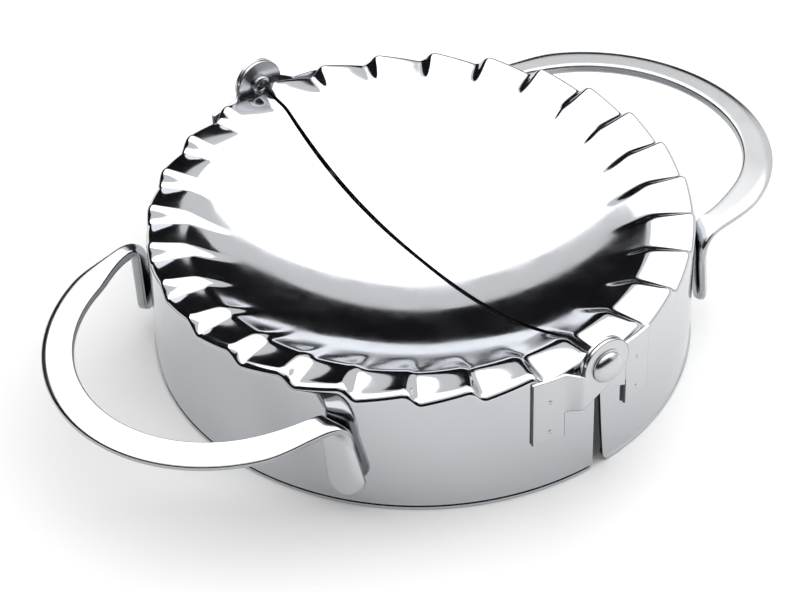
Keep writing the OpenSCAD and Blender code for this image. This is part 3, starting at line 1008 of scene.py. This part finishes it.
@dataclass
class Studio:
    """Pale table under one large soft box, with a dark room round it for the mirrors to draw in.

    Far and right are the directions away from the camera and to its right. Lengths are in
    metres, unlike those of the press.
    """

    floor_r: float = 3.0
    floor_colour: str = "#E8E8E8"
    fill: float = 0.3
    box_w: float = 6.0
    box_l: float = 3.06
    box_z: float = 1.5
    box_far: float = 0.7
    box_right: float = 0.6
    box_watts: float = 75.0
    side_at: tuple[float, float, float] = (1.9, 0.9, 1.2)
    side_d: float = 1.0
    side_watts: float = 8.0
    # Glow added to the board for camera and mirrors: painted shade near and under the press, and
    # painted light in a strip at its right.
    lift_near: float = 0.08
    lift_far: float = 0.03
    painted_light_right: float = 0.16
    near_ring: Point = (0.057, 0.061)
    far_ring: Point = (0.061, 0.1)
    right_strip: Point = (0.025, 0.075)
    cloth_colour: str = "#1C1C1E"
    flag_r: float = 0.8
    flag_foot: float = 0.002
    flag_near_deg: float = 38.0
    flag_far_deg: float = 26.0
    flag_turn: Point = (0.6, 0.98)
    window_deg: float = 110.0
    window_top_deg: float = 3.0
    window_turn: Point = (0.62, 0.8)
    round_steps: int = 96
    azimuth: float = VIEW_AZIMUTH

    def seen_rays(self, tree: NodeTree) -> NodeSocket:
        """Add the switch that is 1 for what the camera, mirrors and glass see.

        Args:
            tree: Node tree of a material or world.

        Returns:
            The switch's value.
        """
        path = add_node(tree, "ShaderNodeLightPath")
        mirrors = add_node(tree, "ShaderNodeMath", {"operation": "MAXIMUM"}, {
            0: path.outputs["Is Glossy Ray"], 1: path.outputs["Is Transmission Ray"]})
        seen = add_node(tree, "ShaderNodeMath", {"operation": "MAXIMUM"}, {
            0: path.outputs["Is Camera Ray"], 1: mirrors.outputs["Value"]})
        return seen.outputs["Value"]

    def stage_piece(self, name: str, mesh_data: BMesh, material: Material) -> Object:
        """Make a piece of the stage from a bmesh in metres.

        Args:
            name: Name of the piece.
            mesh_data: Its shape.
            material: Its material.

        Returns:
            The piece.
        """
        mesh = bpy.data.meshes.new(name)
        mesh_data.to_mesh(mesh)
        mesh_data.free()
        mesh.materials.append(material)
        piece = bpy.data.objects.new(name, mesh)
        bpy.context.scene.collection.objects.link(piece)
        return piece

    def floor(self) -> None:
        """Lay the pale floor that the press stands on."""
        material = bpy.data.materials.new("matt_white_board")
        tree = fresh_tree(material)
        board = add_node(tree, "ShaderNodeBsdfDiffuse", {"Color": linear(self.floor_colour)})
        # Painted shade: the glow added to the board fades out near and under the press, whose
        # inside is dark.
        place = add_node(tree, "ShaderNodeTexCoord").outputs["Object"]
        away = add_node(tree, "ShaderNodeVectorMath", {"operation": "LENGTH"}, {0: place})
        near = add_node(tree, "ShaderNodeMapRange", {
            "From Min": self.near_ring[0], "From Max": self.near_ring[1],
            "To Max": self.lift_near,
        }, {"Value": away.outputs["Value"]})
        far = add_node(tree, "ShaderNodeMapRange", {
            "From Min": self.far_ring[0], "From Max": self.far_ring[1], "To Max": self.lift_far,
        }, {"Value": away.outputs["Value"]})
        # Painted light: the added glow is strongest at the right, where the side box stands.
        along = add_node(tree, "ShaderNodeVectorMath", {
            "operation": "DOT_PRODUCT", 1: self.place(1, 0, 0)}, {0: place})
        right = add_node(tree, "ShaderNodeMapRange", {
            "From Min": self.right_strip[0], "From Max": self.right_strip[1],
            "To Max": self.painted_light_right,
        }, {"Value": along.outputs["Value"]})
        inner = add_node(tree, "ShaderNodeMath", {"operation": "ADD"}, {
            0: near.outputs["Result"], 1: far.outputs["Result"]})
        strength = add_node(tree, "ShaderNodeMath", {"operation": "ADD"}, {
            0: inner.outputs["Value"], 1: right.outputs["Result"]})
        lift = add_node(tree, "ShaderNodeEmission", {"Color": (1, 1, 1, 1)}, {
            "Strength": strength.outputs["Value"]})
        both = add_node(tree, "ShaderNodeAddShader", None, {
            0: board.outputs["BSDF"], 1: lift.outputs["Emission"]})
        mixed = add_node(tree, "ShaderNodeMixShader", None, {
            "Fac": self.seen_rays(tree), 1: board.outputs["BSDF"], 2: both.outputs["Shader"]})
        add_node(tree, "ShaderNodeOutputMaterial", None, {"Surface": mixed.outputs["Shader"]})
        disc = bmesh.new()
        bmesh.ops.create_circle(disc, cap_ends=True, segments=self.round_steps,
                                radius=self.floor_r)
        self.stage_piece("floor", disc, material)

    def dark_room(self) -> None:
        """Stand a ring of dark cloth round the table, lower far off and open at the window.

        Only mirrors see it: it gives the steel the dark lines that it has in a real room. The
        window, at the right, gives the crimps and the foot of the skirt their pale side.
        """
        material = bpy.data.materials.new("dark_cloth")
        tree = fresh_tree(material)
        cloth = add_node(tree, "ShaderNodeBsdfDiffuse", {"Color": linear(self.cloth_colour)})
        add_node(tree, "ShaderNodeOutputMaterial", None, {"Surface": cloth.outputs["BSDF"]})
        ring = bmesh.new()
        bmesh.ops.create_cone(ring, segments=self.round_steps, radius1=self.flag_r,
                              radius2=self.flag_r, depth=1)
        for vert in ring.verts:
            away = math.atan2(vert.co.x, -vert.co.y) - self.azimuth
            in_window = ease(*self.window_turn, math.cos(away - math.radians(self.window_deg)))
            cloth_top = blend(self.flag_near_deg, self.flag_far_deg,
                              ease(*self.flag_turn, -math.cos(away)))
            top = math.radians(blend(cloth_top, self.window_top_deg, in_window))
            vert.co.z = self.flag_r * math.tan(top) if vert.co.z > 0 else self.flag_foot
        cloth_ring = self.stage_piece("dark_room", ring, material)
        cloth_ring.visible_camera = False
        cloth_ring.visible_diffuse = False
        cloth_ring.visible_shadow = False

    def surroundings(self) -> None:
        """Make the room: white where it is seen, and a dim fill as light."""
        world = bpy.data.worlds.new("studio_room")
        bpy.context.scene.world = world
        tree = fresh_tree(world)
        white = add_node(tree, "ShaderNodeBackground", {"Color": (1, 1, 1, 1), "Strength": 1.0})
        dim = add_node(tree, "ShaderNodeBackground", {"Color": (1, 1, 1, 1), "Strength": self.fill})
        mixed = add_node(tree, "ShaderNodeMixShader", None, {
            "Fac": self.seen_rays(tree), 1: dim.outputs["Background"],
            2: white.outputs["Background"]})
        add_node(tree, "ShaderNodeOutputWorld", None, {"Surface": mixed.outputs["Shader"]})

    def place(self, right: float, far: float, height: float) -> Vector:
        """Point of the studio, from its distances to the right, away and up."""
        return Matrix.Rotation(self.azimuth, 3, "Z") @ Vector((right, far, height))

    def lamps(self) -> None:
        """Hang the large oval soft box above and behind the press, and a small one at its right."""
        box = bpy.data.lights.new("soft_box", "AREA")
        box.shape = "ELLIPSE"
        box.size, box.size_y, box.energy = self.box_w, self.box_l, self.box_watts
        lamp = bpy.data.objects.new("soft_box", box)
        lamp.location = self.place(self.box_right, self.box_far, self.box_z)
        lamp.rotation_euler.z = self.azimuth
        side = bpy.data.lights.new("side_box", "AREA")
        side.shape = "DISK"
        side.size, side.energy = self.side_d, self.side_watts
        # The side box only brightens the table: no mirror shows it.
        side_lamp = bpy.data.objects.new("side_box", side)
        side_lamp.location = self.place(*self.side_at)
        side_lamp.rotation_euler = side_lamp.location.to_track_quat("Z", "Y").to_euler()
        side_lamp.visible_glossy = False
        for new in (lamp, side_lamp):
            bpy.context.scene.collection.objects.link(new)

    def build(self) -> None:
        """Set up the floor, the room and the soft box."""
        self.floor()
        self.dark_room()
        self.surroundings()
        self.lamps()
        LOG.info("studio: floor, dark room, surroundings and lamps")


@dataclass
class PhotoCamera:
    """Camera of the photograph, as fitted to its points."""

    image_w: float = 799.0
    focal_px: float = 2775.63
    sensor_w: float = 36.0
    azimuth: float = VIEW_AZIMUTH
    elevation: float = math.radians(40.35)
    roll: float = math.radians(-1.6)
    offset: tuple[float, float, float] = (5.15, -5.74, -626.61)

    def build(self) -> Object:
        """Place the camera and make it the scene's camera.

        Returns:
            The camera.
        """
        sin_a, cos_a = math.sin(self.azimuth), math.cos(self.azimuth)
        sin_e, cos_e = math.sin(self.elevation), math.cos(self.elevation)
        back = Vector((sin_a * cos_e, -cos_a * cos_e, sin_e))
        right = Vector((cos_a, sin_a, 0))
        up = back.cross(right)
        sin_r, cos_r = math.sin(self.roll), math.cos(self.roll)
        x_axis, y_axis = right * cos_r + up * sin_r, up * cos_r - right * sin_r
        place = -(x_axis * self.offset[0] + y_axis * self.offset[1] + back * self.offset[2])
        data = bpy.data.cameras.new("photo_camera")
        data.sensor_fit = "HORIZONTAL"
        data.sensor_width = self.sensor_w
        data.lens = self.focal_px / self.image_w * self.sensor_w
        data.clip_start = 0.01
        camera = bpy.data.objects.new("photo_camera", data)
        frame_axes = Matrix((x_axis, y_axis, back)).transposed().to_4x4()
        camera.matrix_world = Matrix.Translation(place * MM) @ frame_axes
        bpy.context.scene.collection.objects.link(camera)
        bpy.context.scene.camera = camera
        return camera


@dataclass
class Press:
    """The whole press: two halves that fold on a pair of riveted hinges."""

    shell: HalfShell
    handles: dict[Half, LoopHandle]
    plate: HingePlate
    rivet: Rivet

    def build(self) -> None:
        """Build and dress every piece."""
        sheared_and_shade = SHEARED_EDGE_AND_SHADE.build()
        sheet = [DRAWN_SHEET.build(), SHEET_INSIDE_AND_SHADE.build(), sheared_and_shade]
        bar = [FLAT_BAR.build(), SLIT_SIDE.build()]
        stamped = [STAMPED_PLATE.build(), sheared_and_shade]
        riveted = RIVET_STEEL.build()
        mirror = Matrix.Scale(-1, 4, Vector((1, 0, 0)))
        for half in Half:
            self.shell.build(half, sheet)
            self.handles[half].build(half, bar)
        # The outer ear of each hinge, and its turn, go with one half, the inner ear with the other.
        ends = {"front": (Half.LEFT, Half.RIGHT), "back": (Half.RIGHT, Half.LEFT)}
        for end, (near, far) in ends.items():
            self.plate.build(near, Layer.OUTER, f"{end}_outer_plate", near.turn, stamped)
            self.plate.build(far, Layer.INNER, f"{end}_inner_plate", near.turn @ mirror, stamped)
        for end, (near, _) in ends.items():
            self.rivet.build(f"{end}_rivet", near.turn, riveted)


def main() -> None:
    """Build the press, its studio and the camera."""
    logging.basicConfig(level=logging.INFO, format="%(relativeCreated)d %(name)s: %(message)s")
    bpy.context.scene.view_settings.view_transform = "Standard"
    PhotoCamera().build()
    handles = {
        Half.LEFT: LoopHandle(back_bends=(1.8, 9.5), back_twist=math.radians(-12)),
        Half.RIGHT: LoopHandle(foot_z=7.4),
    }
    Press(HalfShell(), handles, HingePlate(), Rivet()).build()
    Studio().build()
    bpy.context.view_layer.update()


if __name__ == "__main__":
    main()
